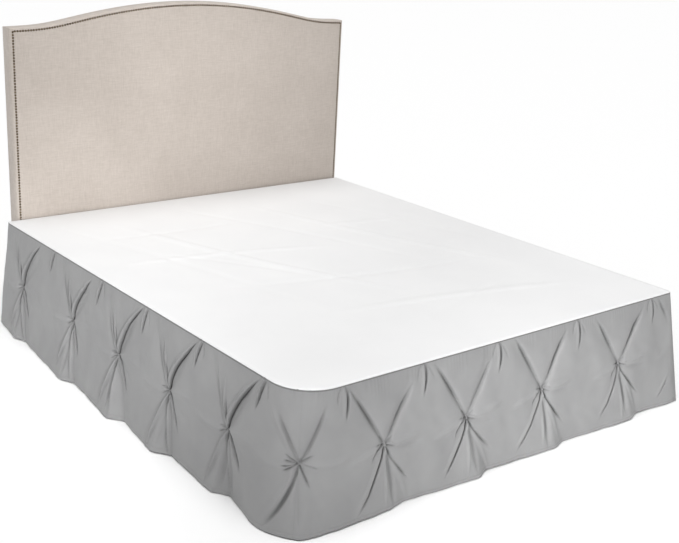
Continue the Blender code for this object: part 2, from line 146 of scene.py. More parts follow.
FOOT_CREASES = (
    (-0.066, 0.106, -0.146, 0.220, 0.0100, 0.0060, 0.0112, 0.0, 0.0, 0.50),
    (0.066, 0.094, 0.136, 0.204, 0.0125, 0.0078, 0.0125, 0.0, -0.0020, 0.50),
    (-0.048, -0.094, -0.126, -0.200, 0.0050, 0.0055, 0.0140, 0.0055, 0.0020, 0.22),
    (-0.044, -0.010, -0.066, -0.062, 0.0032, 0.0050, 0.0080, 0.0020, 0.0, 0.20),
    (0.050, -0.072, 0.126, -0.152, 0.0052, 0.0036, 0.0090, 0.0010, 0.0, 0.22),
    (0.002, -0.100, -0.004, -0.225, 0.0075, 0.0095, -0.0045, 0.0, 0.0, 0.12),
    (0.020, -0.100, 0.038, -0.225, 0.0120, 0.0180, 0.0120, 0.0, 0.0, 0.30),
    (0.056, -0.100, 0.110, -0.225, 0.0080, 0.0100, -0.0040, 0.0, 0.0, 0.12),
    (-0.022, 0.006, -0.048, 0.008, 0.0028, 0.0028, 0.0055, 0.0010, 0.0, 0.12),
    (-0.024, -0.004, -0.046, -0.010, 0.0028, 0.0028, 0.0055, 0.0010, 0.0, 0.12),
    (-0.014, 0.020, -0.030, 0.036, 0.0028, 0.0028, 0.0030, 0.0, 0.0, 0.12),
    (0.016, 0.010, 0.034, 0.030, 0.0028, 0.0028, 0.0045, 0.0, 0.0, 0.12),
    (0.020, -0.006, 0.040, -0.014, 0.0028, 0.0028, 0.0045, 0.0, 0.0, 0.12),
    (0.016, 0.003, 0.034, 0.006, 0.0030, 0.0030, -0.0060, 0.0, 0.0, 0.12),
    (0.004, -0.020, 0.006, -0.044, 0.0030, 0.0030, -0.0060, 0.0, 0.0, 0.12),
    (-0.080, -0.014, -0.170, -0.030, 0.0130, 0.0130, -0.0052, 0.0, 0.0, 0.12),
    (0.080, 0.004, 0.170, 0.018, 0.0130, 0.0130, -0.0055, 0.0, 0.0, 0.12),
    (0.075, -0.022, 0.160, -0.024, 0.0120, 0.0120, 0.0030, 0.0, 0.0, 0.12),
)
# Small pleats under the top seam at each tuck: the same columns
LEFT_TUCK_CREASES = (
    (-0.018, -0.042, -0.024, -0.112, 0.0032, 0.0046, 0.0210, 0.0055, 0.0030, 0.12),
    (0.014, -0.040, 0.022, -0.080, 0.0040, 0.0040, 0.0030, 0.0, 0.0, 0.12),
)
FOOT_TUCK_CREASES = (
    (0.010, -0.046, -0.008, -0.124, 0.0046, 0.0036, 0.0180, 0.0040, 0.0010, 0.12),
    (-0.022, -0.030, -0.030, -0.070, 0.0040, 0.0040, 0.0035, 0.0, 0.0, 0.12),
    (0.030, -0.034, 0.046, -0.070, 0.0040, 0.0040, 0.0030, 0.0, 0.0, 0.12),
)

# Points along a crease, and how far from a pinch or a tuck its creases are worked out
PATH_POINTS = 25
PINCH_REACH = 0.20
TUCK_REACH = 0.09
# A crease wider than this is round at its bottom, a narrower one is sharp
BROAD_WIDTH = 0.008

# Dip round a pinch and the small knot in its middle, each with its reach
PINCH_DIP, PINCH_DIP_REACH = 0.0072, 0.024
PINCH_NUB, PINCH_NUB_REACH = 0.0085, 0.0050
# Share of both that the pinch at the right seam has
SEAM_PINCH_PULL = 0.4

# Heights of the gathers at the round corner and under the sewn edge, and of the
# unevenness of the cloth
CORNER_GATHER = 0.0018
SEAM_GATHER = 0.0007
LONG_WAVE = 0.0011
RUMPLE = 0.0007

# Seams between the drops, and the edge that is sewn to the deck cloth
SEAM_DIP, SEAM_DIP_WIDTH = 0.0016, 0.0030
SEAM_UNDERLAP = 0.0006
CLOTH_OUT = 0.0012
EDGE_DROP = 0.0014
TUCK_DIP = 0.0016
# Height over which the cloth comes free of the sewn edge, and the share of the fine forms
# that shows at the edge itself
PINNED_BAND = 0.012
PINNED_SHARE = 0.45

# Hem: its rows, the gap to its turned cloth and the line of stitches
HEM_ROWS = (0.0, 0.0012, 0.0060, 0.0100, 0.0115, 0.0130, 0.0145)
HEM_ROWS_END = 0.017
HEM_BACK = 0.0022
HEM_SEAM = 0.0123
HEM_SEAM_DIP = 0.0007
HEM_LIFT_HEIGHT = 0.2
# Reach of the hem's fold on the foot side and on the head side, as shares of the way to
# the next tuck, and the least of the first in metres
HEM_FAR_SHARE = 0.75
HEM_HEAD_SHARE = 0.6
HEM_FAR_LEAST = 0.035

# Rows of the drops: close together near a pinch, further apart elsewhere
FINE_STEP = 0.0022
COARSE_STEP = 0.0037
FINE_REACH = 0.034
PINCH_HEIGHT = 0.226

# Long soft creases in the deck cloth: start x and y, end x and y, bow, width, depth
DECK_CREASES = (
    (-0.80, 0.95, -0.35, -0.80, 0.05, 0.017, 0.0046),
    (-0.55, 0.90, 0.05, -0.60, -0.06, 0.020, -0.0046),
    (-0.20, 0.95, 0.35, -0.30, 0.04, 0.018, 0.0043),
    (0.15, 0.90, 0.70, -0.55, -0.05, 0.019, -0.0046),
    (0.45, 0.80, 0.80, -0.20, 0.03, 0.015, 0.0041),
    (-0.85, 0.30, 0.20, 0.05, 0.04, 0.016, -0.0035),
    (-0.70, -0.10, 0.60, -0.35, -0.05, 0.017, 0.0038),
    (-0.50, -0.55, 0.75, -0.80, 0.03, 0.016, -0.0038),
    (-0.30, -0.85, 0.50, -0.60, 0.02, 0.013, 0.0035),
    (-0.85, 0.65, 0.10, 0.60, -0.03, 0.014, 0.0030),
    (-0.60, 0.35, -0.20, -0.20, 0.03, 0.012, 0.0035),
    (0.10, 0.35, 0.85, 0.25, 0.03, 0.017, -0.0035),
)
DECK_SAG = 0.0019
DECK_THICKNESS = 0.0011
DECK_TOP = DROP + 0.0012

# Headboard, as in the solids
BOARD_HALF_WIDTH = 0.893
BOARD_CENTRE_X = 0.026
BOARD_THICKNESS = 0.080
BOARD_BOTTOM = 0.300
BOARD_SHOULDER = 1.290
BOARD_RISE = 0.100
BOARD_ARCH_RADIUS = 2.500
BOARD_BLEND = 0.030
BOARD_GAP = 0.012
BOARD_FRONT = HEAD_Y + BOARD_GAP
NAIL_INSET = 0.014
NAIL_PITCH = 0.0120
NAIL_RADIUS = 0.0054
NAIL_BASE = 0.0036
NAIL_HEIGHT = 0.0038
NAIL_START = 0.45
NAIL_SLIP = 0.00018
NAIL_SIDES = 10
# Share of the radius and of the height
NAIL_RINGS = ((1.0, 0.0), (0.96, 0.30), (0.78, 0.62), (0.45, 0.88))
# How far in from the outline, and how far behind the front face
BOARD_PROFILE = (
    (0.0040, BOARD_THICKNESS), (0.0, BOARD_THICKNESS - 0.004), (0.0, 0.012),
    (0.0012, 0.0065), (0.0040, 0.0028), (0.0080, 0.0012), (0.0105, 0.0026),
    (NAIL_INSET, 0.0034), (0.0155, 0.0026), (0.019, 0.0008), (0.026, -0.0006),
    (0.050, -0.0012), (0.120, -0.0016),
)

# Box spring: height and inset of each row, and the piping round its top and bottom
SPRING_CORNER = 0.012
SPRING_FOOT_CORNER = 0.134
SPRING_ROWS = (
    (0.0, 0.018), (0.004, 0.006), (0.010, 0.001), (0.055, 0.0005), (0.12, 0.0),
    (0.185, 0.0005), (0.233, 0.001), (0.239, 0.006),
)
SPRING_TOP_GAP = 0.0004
SPRING_TOP_INSET = 0.018
PIPING_RADIUS = 0.0028
PIPING = (("piping_top", 0.236), ("piping_bottom", 0.007))

# Camera, fitted to the deck's corners, the hem and the headboard
CAMERA_PLACE = (-2.6959, -3.3817, 1.8154)
CAMERA_YAW, CAMERA_PITCH, CAMERA_ROLL = 39.52, 18.23, 3.00
CAMERA_LENS = 57.67

# Light: place, aim, size, watts and spread in degrees
WORLD_LIGHT = 0.50
SUN_STRENGTH = 1.68
SUN_ANGLE = 40
LIGHTS = (
    ("key", (-3.2, -2.4, 0.8), (0.50, -1.15, 0.22), 0.6, 2.7, 23),
    ("front", (0.2, -2.9, 0.9), (0.2, -1.1, 0.22), 0.6, 0.5, 60),
    ("wash", (-1.2, -2.6, 1.5), (0.0, 1.13, 0.98), 0.6, 2.9, 38),
    ("side", (-2.0, -3.3, 1.1), (-0.97, 0.65, 0.24), 0.4, 1.7, 23),
)


def edge_frame(run):
    """x, y and the outward direction along the deck's edge, for an array of distances."""
    run = np.clip(run, 0.0, RUN_LENGTH)
    starts = np.cumsum([0.0, LEFT_RUN, LEFT_ARC, FOOT_RUN, RIGHT_ARC])
    part = np.clip(np.searchsorted(starts, run, side="right") - 1, 0, 4)
    t = run - starts[part]
    left_angle = math.pi + t / LEFT_FOOT_RADIUS
    right_angle = 1.5 * math.pi + t / RIGHT_FOOT_RADIUS
    lc, ls = np.cos(left_angle), np.sin(left_angle)
    rc, rs = np.cos(right_angle), np.sin(right_angle)
    square = np.maximum(np.abs(rc), np.abs(rs))
    left_x = -HALF_WIDTH + LEFT_FOOT_RADIUS
    right_x = HALF_WIDTH - RIGHT_FOOT_RADIUS
    ones, zeros = np.ones_like(t), np.zeros_like(t)
    x = np.choose(part, [-HALF_WIDTH * ones, left_x + LEFT_FOOT_RADIUS * lc, left_x + t,
                         right_x + RIGHT_FOOT_RADIUS * rc, HALF_WIDTH * ones])
    y = np.choose(part, [HEAD_Y - t, FOOT_Y + LEFT_FOOT_RADIUS * (1 + ls), FOOT_Y * ones,
                         FOOT_Y + RIGHT_FOOT_RADIUS * (1 + rs),
                         FOOT_Y + RIGHT_FOOT_RADIUS + t])
    out_x = np.choose(part, [-ones, lc, zeros, rc / square, ones])
    out_y = np.choose(part, [zeros, ls, -ones, rs / square, zeros])
    return x, y, out_x, out_y


def smooth(values, steps, axis):
    """A soft average over neighbouring points, repeated, with the ends held."""
    for _ in range(steps):
        pad = [(1, 1) if a == axis else (0, 0) for a in range(2)]
        wide = np.pad(values, pad, mode="edge")
        n = values.shape[axis]
        before, here, after = (np.take(wide, range(k, k + n), axis=axis) for k in range(3))
        values = 0.25 * before + 0.5 * here + 0.25 * after
    return values


def hem_profile():
    """Runs and outward offsets of the hem: it stands out slowly, then falls back."""
    runs, offsets = [0.0], [END_FLARE]
    for run, _, _, ridge, peak, trough in PINCHES:
        runs += [run + ridge, run + ridge + FALL_RIGHT]
        offsets += [peak, trough]
    return [*runs, RUN_LENGTH], [*offsets, END_FLARE]


def base_offset(run, z):
    """The large forms: flare, swellings between the folds and the hem's own shape."""
    table = np.array(PINCHES)
    k = np.searchsorted(np.array(TUCKS), run)
    p_run, p_z, puff, p_ridge = (table[k, c] for c in range(4))
    low = np.array((0.0, *TUCKS))[k]
    high = np.array((*TUCKS, RUN_LENGTH))[k]
    right = run >= p_run
    reach = np.where(right, high - p_run, p_run - low)
    away = np.abs(run - p_run)
    above = np.clip((z - p_z) / (DROP - p_z), 0, 1)
    below = np.clip((p_z - z) / p_z, 0, 1)
    hem_right = np.minimum(np.maximum(HEM_FAR_LEAST, p_ridge + FALL_RIGHT), HEM_FAR_SHARE * reach)
    at_hem = np.where(right, hem_right, np.minimum(FALL_LEFT, HEM_HEAD_SHARE * reach))
    up = PINCH_CORE + (ARM_REACH * reach - PINCH_CORE) * above
    down = PINCH_CORE + (at_hem - PINCH_CORE) * below**0.9
    fold = np.where(z >= p_z, up, down)
    within = away * at_hem / down
    outside = at_hem + (away - down) * (reach - at_hem) / np.maximum(reach - down, 1e-6)
    across = np.where(away <= down, within, outside)
    runs, offsets = hem_profile()
    hem = np.interp(p_run + np.where(right, across, -across), runs, offsets)
    out = FLARE * (1 - z / DROP) + (hem - FLARE) * below
    hang = np.minimum(1.0, np.minimum(run, RUN_LENGTH - run) / END_HANG)
    swell = hang * (1 - above**2) * (1 - below) ** 1.2
    puffed = PUFF * puff * swell * (1 - np.exp(-np.maximum(away - fold, 0) / PUFF_EDGE))
    rise = 1 - np.exp(-np.maximum(fold - away, 0) / UPPER_EDGE)
    upper = UPPER_PUFF * np.sin(math.pi * above**0.8) * rise
    return out + np.where(away > fold, puffed, np.where(z >= p_z, upper, 0.0))


def held_straight(run, z, out):
    """The cloth hangs straight down at the square corner."""
    held = np.exp(-(((run - RIGHT_CORNER) / CORNER_HOLD) ** 2))
    return out + held * (CORNER_FLARE * (1 - z / DROP) - out)


def crease_path(row, turn, length):
    """Points and directions along a crease, which bends evenly through its middle."""
    mid, end = np.array(row[0:2]), np.array(row[2:4])
    control = 2 * mid - 0.5 * end
    t = np.linspace(0, 1, PATH_POINTS)[:, None]
    points = 2 * t * (1 - t) * control + t * t * end
    heading = 2 * (1 - 2 * t) * control + 2 * t * end
    heading /= np.linalg.norm(heading, axis=1)[:, None]
    spin = np.array(((math.cos(turn), math.sin(turn)), (-math.sin(turn), math.cos(turn))))
    return length * points @ spin, heading @ spin


def crease(run, z, start, row, factors):
    """Outward and sideways movement of the cloth beside one crease."""
    turn, length, deeper = factors
    head_width, far_width, depth, ridge, lean, growth = row[4:]
    points, heading = crease_path(row, turn, length)
    dr, dz = run - start[0], z - start[1]
    apart = (dr[:, None] - points[:, 0]) ** 2 + (dz[:, None] - points[:, 1]) ** 2
    k = np.argmin(apart, axis=1)
    off_run, off_z = dr - points[k, 0], dz - points[k, 1]
    along = off_run * heading[k, 0] + off_z * heading[k, 1]
    across = off_run * heading[k, 1] - off_z * heading[k, 0]
    across = np.where(heading[k, 1] < 0, -across, across)
    total = np.linalg.norm(np.diff(points, axis=0), axis=1).sum()
    t = k / (PATH_POINTS - 1) + along / total
    opening = 0.50 + 0.50 * np.sin(math.pi * np.clip(t, 0, 1) ** 0.8)
    width = np.where(across < 0, head_width, far_width) * opening
    q = across / width
    start_fade = np.clip((t + 0.02) / growth, 0, 1)
    end_fade = np.clip((1 - t) / 0.34, 0, 1)
    fade = start_fade * end_fade * end_fade * (3 - 2 * end_fade)
    fade *= np.exp(-np.maximum(np.abs(across) - 0.05, 0) / 0.01)
    sharp = np.exp(-1.5 * (np.sqrt(q * q + 0.06) - 0.245))
    broad = np.where(across < 0, head_width, far_width) > BROAD_WIDTH
    valley = np.where(broad | (depth < 0), np.exp(-q * q), sharp)
    crest = np.exp(-((across + 2.2 * head_width) / (1.5 * head_width)) ** 2)
    out = fade * deeper * (ridge * crest - depth * valley)
    over = np.exp(-((across + 1.5 * head_width) / (1.6 * head_width)) ** 2)
    return out, lean * deeper * fade * over


def creases_of(place):
    """The creases of a pinch or the pleats of a tuck, for its side of the bed."""
    if place < LEFT_RUN + 0.3 * LEFT_ARC:
        return LEFT_CREASES, LEFT_TUCK_CREASES
    if place < LEFT_SEAM + 0.01:
        return CORNER_CREASES, LEFT_TUCK_CREASES
    return FOOT_CREASES, FOOT_TUCK_CREASES


def fine_offset(run, z):
    """Creases round each pinch, small pleats under the seam, gathers and unevenness."""
    rng = np.random.default_rng(11)
    out, side = np.zeros_like(run), np.zeros_like(run)
    places = [(pinch[:2], creases_of(pinch[0])[0], PINCH_REACH) for pinch in PINCHES]
    places += [((tuck, DROP), creases_of(tuck)[1], TUCK_REACH) for tuck in TUCKS]
    for place, rows, reach in places:
        near = np.abs(run[:, 0] - place[0]) < reach
        for row in rows:
            factors = rng.normal(0, 0.04), rng.uniform(0.92, 1.08), rng.uniform(0.8, 1.15)
            if near.any():
                shape = run[near].shape
                o, s = crease(run[near].ravel(), z[near].ravel(), place, row, factors)
                out[near] += o.reshape(shape)
                side[near] += s.reshape(shape)
    for pinch in PINCHES:
        pull = (run - pinch[0]) ** 2 + (z - pinch[1]) ** 2
        share = SEAM_PINCH_PULL if pinch[0] == RIGHT_SEAM else 1.0
        dip = PINCH_DIP * np.exp(-pull / PINCH_DIP_REACH**2)
        out -= share * (dip - PINCH_NUB * np.exp(-pull / PINCH_NUB_REACH**2))
    corner = LEFT_RUN + LEFT_ARC / 2
    gathered = np.exp(-((run - corner) / 0.10) ** 2) * np.exp(-(DROP - z) / 0.028)
    out += CORNER_GATHER * gathered * np.sin(300 * run + 2.5 * np.sin(61 * run))
    long_wave = np.sin(17 * run + 1.0) * np.sin(9 * z + 3 * run) + np.sin(41 * run + 14 * z)
    out += LONG_WAVE * long_wave * np.clip((DROP - z) / 0.1, 0, 1)
    lean = run + 0.5 * z
    rumple = np.sin(71 * lean + 2 * np.sin(23 * z + 5 * run)) * np.sin(31 * z - 13 * run)
    out += RUMPLE * rumple * np.clip((DROP - z) / 0.05, 0, 1)
    small = np.sin(290 * run + 6 * np.sin(37 * run))
    out += SEAM_GATHER * np.exp(-(DROP - z) / 0.030) * small
    for seam in (LEFT_SEAM, RIGHT_SEAM):
        low_part = np.clip((0.21 - z) / 0.03, 0, 1)
        out -= SEAM_DIP * low_part * np.exp(-(((run - seam) / SEAM_DIP_WIDTH) ** 2))
    return out, side


def steps_between(low, high, centres):
    """Positions from low to high, close together near the centres."""
    places = [low]
    while places[-1] < high:
        near = min((abs(places[-1] + COARSE_STEP / 2 - c) for c in centres), default=1)
        places.append(places[-1] + (FINE_STEP if near < FINE_REACH else COARSE_STEP))
    places = np.array(places)
    return low + (places - low) * (high - low) / (places[-1] - low)


def top_dip(run):
    """How far the sewn edge is drawn in at each tuck."""
    return sum(TUCK_DIP * np.exp(-(((run - tuck) / 0.028) ** 2)) for tuck in TUCKS)


def drop_grid(low, high):
    """Runs and heights of a drop's rows, and how far its end slips under the next drop."""
    runs = steps_between(low, high, [pinch[0] for pinch in PINCHES])
    flap = np.zeros_like(runs)
    if high < RUN_LENGTH:
        runs = np.append(runs[:-1], (high - 0.0003, high, high + 0.0003, high + 0.004))
        flap = np.append(flap, (0.0, SEAM_UNDERLAP, SEAM_UNDERLAP))
    shares = steps_between(0.0, DROP, [PINCH_HEIGHT])
    heights = np.concatenate([np.array(HEM_ROWS), shares[shares > HEM_ROWS_END]])
    return runs, flap, heights


def soft_base(run, z):
    """The large forms, softened, and more so under each tuck."""
    base = smooth(smooth(base_offset(run, z), 8, 0), 3, 1)
    near_tuck = sum(np.exp(-(((run - tuck) / 0.030) ** 2)) for tuck in TUCKS)
    base += np.minimum(near_tuck, 1.0) * (smooth(base, 70, 0) - base)
    return base


def drop_sheet(name, low, high, material):
    """One drop from its sewn edge down to its hem, whose turned cloth goes up behind it."""
    runs, flap, heights = drop_grid(low, high)
    run, z = np.meshgrid(runs, heights, indexing="ij")
    wave = HEM_CLEARANCE + HEM_WAVE * (1 + np.sin(9.0 * run))
    z = z + (wave - 0.001) * np.clip(1 - z / HEM_LIFT_HEIGHT, 0, 1)
    base = soft_base(run, z)
    fine, side = fine_offset(run, z)
    hem = np.exp(-((heights - HEM_SEAM) / 0.0016) ** 2)[None, :]
    free = np.clip((DROP - z) / PINNED_BAND, 0, 1)
    inner = CLOTH_OUT - 0.4 * top_dip(run) * (1 - np.clip((DROP - z) / 0.06, 0, 1))
    out = held_straight(run, z, base + fine * (PINNED_SHARE + (1 - PINNED_SHARE) * free))
    out = np.maximum(out, 0.0) + inner - HEM_SEAM_DIP * hem - flap[:, None]
    loose = free * (1 - np.exp(-(((run - RIGHT_CORNER) / CORNER_HOLD) ** 2)))
    run_moved = np.clip(run + side * loose, low, runs[-1])
    x, y, out_x, out_y = edge_frame(run_moved)
    z_top = EDGE_DROP * np.clip(1 - (DROP - z) / 0.03, 0, 1)
    points = np.stack([x + out_x * out, y + out_y * out, z - z_top], axis=-1)
    outward = np.stack([out_x, out_y, np.zeros_like(out_x)], axis=-1)
    behind = [points[:, k] - outward[:, k] * HEM_BACK for k in (5, 3, 1)]
    folded = np.concatenate([np.stack(behind, axis=1), points], axis=1)
    v = np.concatenate([-heights[[5, 3, 1]], heights])
    u = np.broadcast_to((runs - low)[:, None], folded.shape[:2])
    return grid_object(name, folded, u, np.broadcast_to(v, folded.shape[:2]), material, 0.0)


def linked(name, data):
    """An object of that data, in the scene."""
    obj = bpy.data.objects.new(name, data)
    bpy.context.scene.collection.objects.link(obj)
    return obj


def grid_object(name, points, u, v, material, thickness):
    """A sheet through a grid of points, with its lengths along and up as its UV map."""
    n, m = points.shape[:2]
    index = np.arange(n * m).reshape(n, m)
    quads = np.stack([index[:-1, :-1], index[1:, :-1], index[1:, 1:], index[:-1, 1:]], -1)
    quads = quads.reshape(-1, 4)
    mesh = bpy.data.meshes.new(name)
    mesh.from_pydata(points.reshape(-1, 3).tolist(), [], quads.tolist())
    layer = mesh.uv_layers.new(name="lengths")
    uv = np.stack([u.reshape(-1), v.reshape(-1)], -1)[quads.reshape(-1)]
    layer.data.foreach_set("uv", uv.astype(np.float32).reshape(-1))
    mesh.materials.append(material)
    mesh.shade_smooth()
    obj = linked(name, mesh)
    if thickness:
        solid = obj.modifiers.new("thickness", "SOLIDIFY")
        solid.thickness = thickness
        solid.offset = -1
    return obj


def nodes_of(material):
    return material.node_tree.nodes, material.node_tree.links


def new_material(name, roughness, sheen=0.0, metallic=0.0):
    material = bpy.data.materials.new(name)
    material.use_nodes = True
    shader = material.node_tree.nodes["Principled BSDF"]
    shader.inputs["Roughness"].default_value = roughness
    shader.inputs["Metallic"].default_value = metallic
    shader.inputs["Sheen Weight"].default_value = sheen
    shader.inputs["Sheen Roughness"].default_value = 0.45
    return material, shader


def noise(material, scale, detail=3.0, source="Object", stretch=None, roughness=0.55):
    """A noise texture in the object's own metres, stretched along an axis if asked."""
    nodes, links = nodes_of(material)
    place = nodes.new("ShaderNodeTexCoord")
    vector = place.outputs[source]
    if stretch:
        mapping = nodes.new("ShaderNodeMapping")
        mapping.inputs["Scale"].default_value = stretch
        links.new(vector, mapping.inputs["Vector"])
        vector = mapping.outputs["Vector"]
    texture = nodes.new("ShaderNodeTexNoise")
    texture.inputs["Scale"].default_value = scale
    texture.inputs["Detail"].default_value = detail
    texture.inputs["Roughness"].default_value = roughness
    links.new(vector, texture.inputs["Vector"])
    return texture.outputs["Fac"]


def maths(material, operation, a, b=None, clamp=False):
    nodes, links = nodes_of(material)
    node = nodes.new("ShaderNodeMath")
    node.operation = operation
    node.use_clamp = clamp
    for socket, value in zip(node.inputs, (a, b)):
        if value is None:
            continue
        if isinstance(value, (int, float)):
            socket.default_value = value
        else:
            links.new(value, socket)
    return node.outputs[0]


def ramp(material, value, stops):
    nodes, links = nodes_of(material)
    node = nodes.new("ShaderNodeValToRGB")
    elements = node.color_ramp.elements
    elements[0].position, elements[0].color = stops[0][0], (*stops[0][1], 1)
    elements[1].position, elements[1].color = stops[-1][0], (*stops[-1][1], 1)
    for place, colour in stops[1:-1]:
        element = elements.new(place)
        element.color = (*colour, 1)
    links.new(value, node.inputs["Fac"])
    return node.outputs["Color"]


def mixed(material, share, a, b, blend="MIX"):
    nodes, links = nodes_of(material)
    node = nodes.new("ShaderNodeMix")
    node.data_type = "RGBA"
    node.blend_type = blend
    for socket, value in ((node.inputs[0], share), (node.inputs[6], a), (node.inputs[7], b)):
        if isinstance(value, tuple):
            socket.default_value = (*value, 1)
        elif isinstance(value, (int, float)):
            socket.default_value = value
        else:
            links.new(value, socket)
    return node.outputs[2]


def bump(material, shader, height, distance, strength=1.0):
    nodes, links = nodes_of(material)
    node = nodes.new("ShaderNodeBump")
    node.inputs["Strength"].default_value = strength
    node.inputs["Distance"].default_value = distance
    links.new(height, node.inputs["Height"])
    if shader.inputs["Normal"].is_linked:
        links.new(shader.inputs["Normal"].links[0].from_socket, node.inputs["Normal"])
    links.new(node.outputs["Normal"], shader.inputs["Normal"])


def weave(material, scale, source="UV"):
    """Over and under threads: the product of two crossed waves."""
    nodes, links = nodes_of(material)
    place = nodes.new("ShaderNodeTexCoord")
    split = nodes.new("ShaderNodeSeparateXYZ")
    links.new(place.outputs[source], split.inputs[0])
    first = maths(material, "SINE", maths(material, "MULTIPLY", split.outputs[0], scale))
    other = split.outputs[1] if source == "UV" else split.outputs[2]
    second = maths(material, "SINE", maths(material, "MULTIPLY", other, scale))
    return maths(material, "MULTIPLY", first, second)


def stitch_and_shade_lines(material, height, pitch, half):
    """1 on the stitches of a line at that height above the hem, and 0 elsewhere, with the whole
    line as a second mask, which carries painted shade.
    """
    nodes, links = nodes_of(material)
    place = nodes.new("ShaderNodeTexCoord")
    split = nodes.new("ShaderNodeSeparateXYZ")
    links.new(place.outputs["UV"], split.inputs[0])
    off = maths(material, "ABSOLUTE", maths(material, "SUBTRACT", split.outputs[1], height))
    line = maths(material, "LESS_THAN", off, half)
    turn = maths(material, "FRACT", maths(material, "DIVIDE", split.outputs[0], pitch))
    dash = maths(material, "LESS_THAN", turn, 0.72)
    return maths(material, "MULTIPLY", line, dash), line


def painted_fold_shade(material, colour, reach, power):
    """The colour with painted shade: darker where cloth stands close round it, as deep in a fold.
    """
    nodes, links = nodes_of(material)
    node = nodes.new("ShaderNodeAmbientOcclusion")
    node.samples = 8
    node.only_local = True
    node.inputs["Distance"].default_value = reach
    open_share = maths(material, "POWER", node.outputs["AO"], power)
    # Painted shade: the colour is mixed towards near black where the occlusion node finds cloth
    # close by
    return mixed(material, open_share, (0.03, 0.03, 0.03), colour)


def microfibre():
    material, shader = new_material("grey_microfibre", 0.82, sheen=0.12)
    _, links = nodes_of(material)
    broad = noise(material, 7.0, 4.0)
    tone = ramp(material, broad, ((0.30, (0.284, 0.284, 0.286)), (0.70, (0.320, 0.320, 0.321))))
    grain = ramp(
        material, noise(material, 900.0, 2.0, "UV"),
        ((0.30, (0.90, 0.90, 0.90)), (0.70, (1.08, 1.08, 1.08))),
    )
    colour = mixed(material, 1.0, tone, grain, "MULTIPLY")
    stitch, shaded_groove = stitch_and_shade_lines(material, 0.0123, 0.0042, 0.0009)
    # Painted shade in the hem's stitched groove: the line is darkened towards dark grey, and the
    # lighter dashes are the thread
    colour = mixed(material, maths(material, "MULTIPLY", shaded_groove, 0.35), colour, (0.20, 0.20, 0.20))
    colour = mixed(material, maths(material, "MULTIPLY", stitch, 0.4), colour, (0.36, 0.36, 0.36))
    # Painted shadow: the top 7 mm of each drop is darkened, as shade under the deck cloth's
    # turned-down edge
    _, painted_lip_shadow = stitch_and_shade_lines(material, DROP, 0.0042, 0.0072)
    colour = mixed(material, maths(material, "MULTIPLY", painted_lip_shadow, 0.6), colour, (0.10, 0.10, 0.10))
    # Painted shade in the folds and creases darkens the cloth's colour
    links.new(painted_fold_shade(material, colour, 0.016, 1.5), shader.inputs["Base Color"])
    bump(material, shader, weave(material, 6500.0), 0.00006, 0.5)
    bump(material, shader, noise(material, 240.0, 3.0, "UV"), 0.00025, 0.35)
    return material


def white_cotton():
    material, shader = new_material("white_cotton", 0.85, sheen=0.08)
    _, links = nodes_of(material)
    tone = ramp(
        material, noise(material, 3.0, 3.0),
        ((0.3, (0.800, 0.800, 0.803)), (0.7, (0.830, 0.830, 0.831))),
    )
    links.new(tone, shader.inputs["Base Color"])
    bump(material, shader, weave(material, 4200.0), 0.00008, 0.5)
    bump(material, shader, noise(material, 30.0, 4.0), 0.0009, 0.35)
    return material


def linen():
    material, shader = new_material("beige_linen", 0.88, sheen=0.15)
    _, links = nodes_of(material)
    upright = noise(material, 1.0, 3.0, "Object", (420.0, 60.0, 26.0), 0.65)
    level = noise(material, 1.0, 3.0, "Object", (26.0, 60.0, 420.0), 0.65)
    threads = maths(material, "ADD", upright, level)
    tone = ramp(material, maths(material, "MULTIPLY", threads, 0.5), (
        (0.30, (0.480, 0.425, 0.378)), (0.50, (0.560, 0.500, 0.450)), (0.70, (0.640, 0.580, 0.530)),
    ))
    cloudy = ramp(
        material, noise(material, 3.5, 3.0),
        ((0.3, (0.95, 0.945, 0.94)), (0.7, (1.04, 1.04, 1.04))),
    )
    links.new(mixed(material, 1.0, tone, cloudy, "MULTIPLY"), shader.inputs["Base Color"])
    bump(material, shader, weave(material, 2800.0, "Object"), 0.00025, 0.6)
    bump(material, shader, threads, 0.0008, 0.5)
    return material


def aged_brass():
    material, shader = new_material("aged_brass", 0.38, metallic=1.0)
    _, links = nodes_of(material)
    tone = ramp(material, noise(material, 160.0, 3.0), (
        (0.3, (0.060, 0.045, 0.030)), (0.6, (0.20, 0.155, 0.105)), (0.8, (0.42, 0.33, 0.23)),
    ))
    links.new(tone, shader.inputs["Base Color"])
    bump(material, shader, noise(material, 700.0, 2.0), 0.0002, 0.4)
    return material


def ticking():
    material, shader = new_material("plain_ticking", 0.85, sheen=0.1)
    _, links = nodes_of(material)
    tone = ramp(
        material, noise(material, 5.0, 3.0),
        ((0.3, (0.60, 0.59, 0.56)), (0.7, (0.68, 0.67, 0.64))),
    )
    links.new(tone, shader.inputs["Base Color"])
    bump(material, shader, weave(material, 2600.0, "Object"), 0.0002, 0.6)
    bump(material, shader, noise(material, 60.0, 3.0), 0.0006, 0.4)
    return material


def powder_steel():
    material, shader = new_material("black_powder_coat", 0.5)
    _, links = nodes_of(material)
    tone = ramp(
        material, noise(material, 40.0, 4.0),
        ((0.3, (0.018, 0.018, 0.020)), (0.7, (0.032, 0.032, 0.035))),
    )
    links.new(tone, shader.inputs["Base Color"])
    bump(material, shader, noise(material, 1300.0, 2.0), 0.0002, 0.5)
    return material


def stained_wood():
    material, shader = new_material("stained_wood", 0.5)
    _, links = nodes_of(material)
    grain = noise(material, 1.0, 5.0, "Object", (90.0, 90.0, 7.0), 0.6)
    tone = ramp(material, grain, (
        (0.30, (0.070, 0.035, 0.016)), (0.50, (0.150, 0.080, 0.040)), (0.68, (0.215, 0.125, 0.065)),
    ))
    links.new(tone, shader.inputs["Base Color"])
    bump(material, shader, grain, 0.0006, 0.4)
    return material


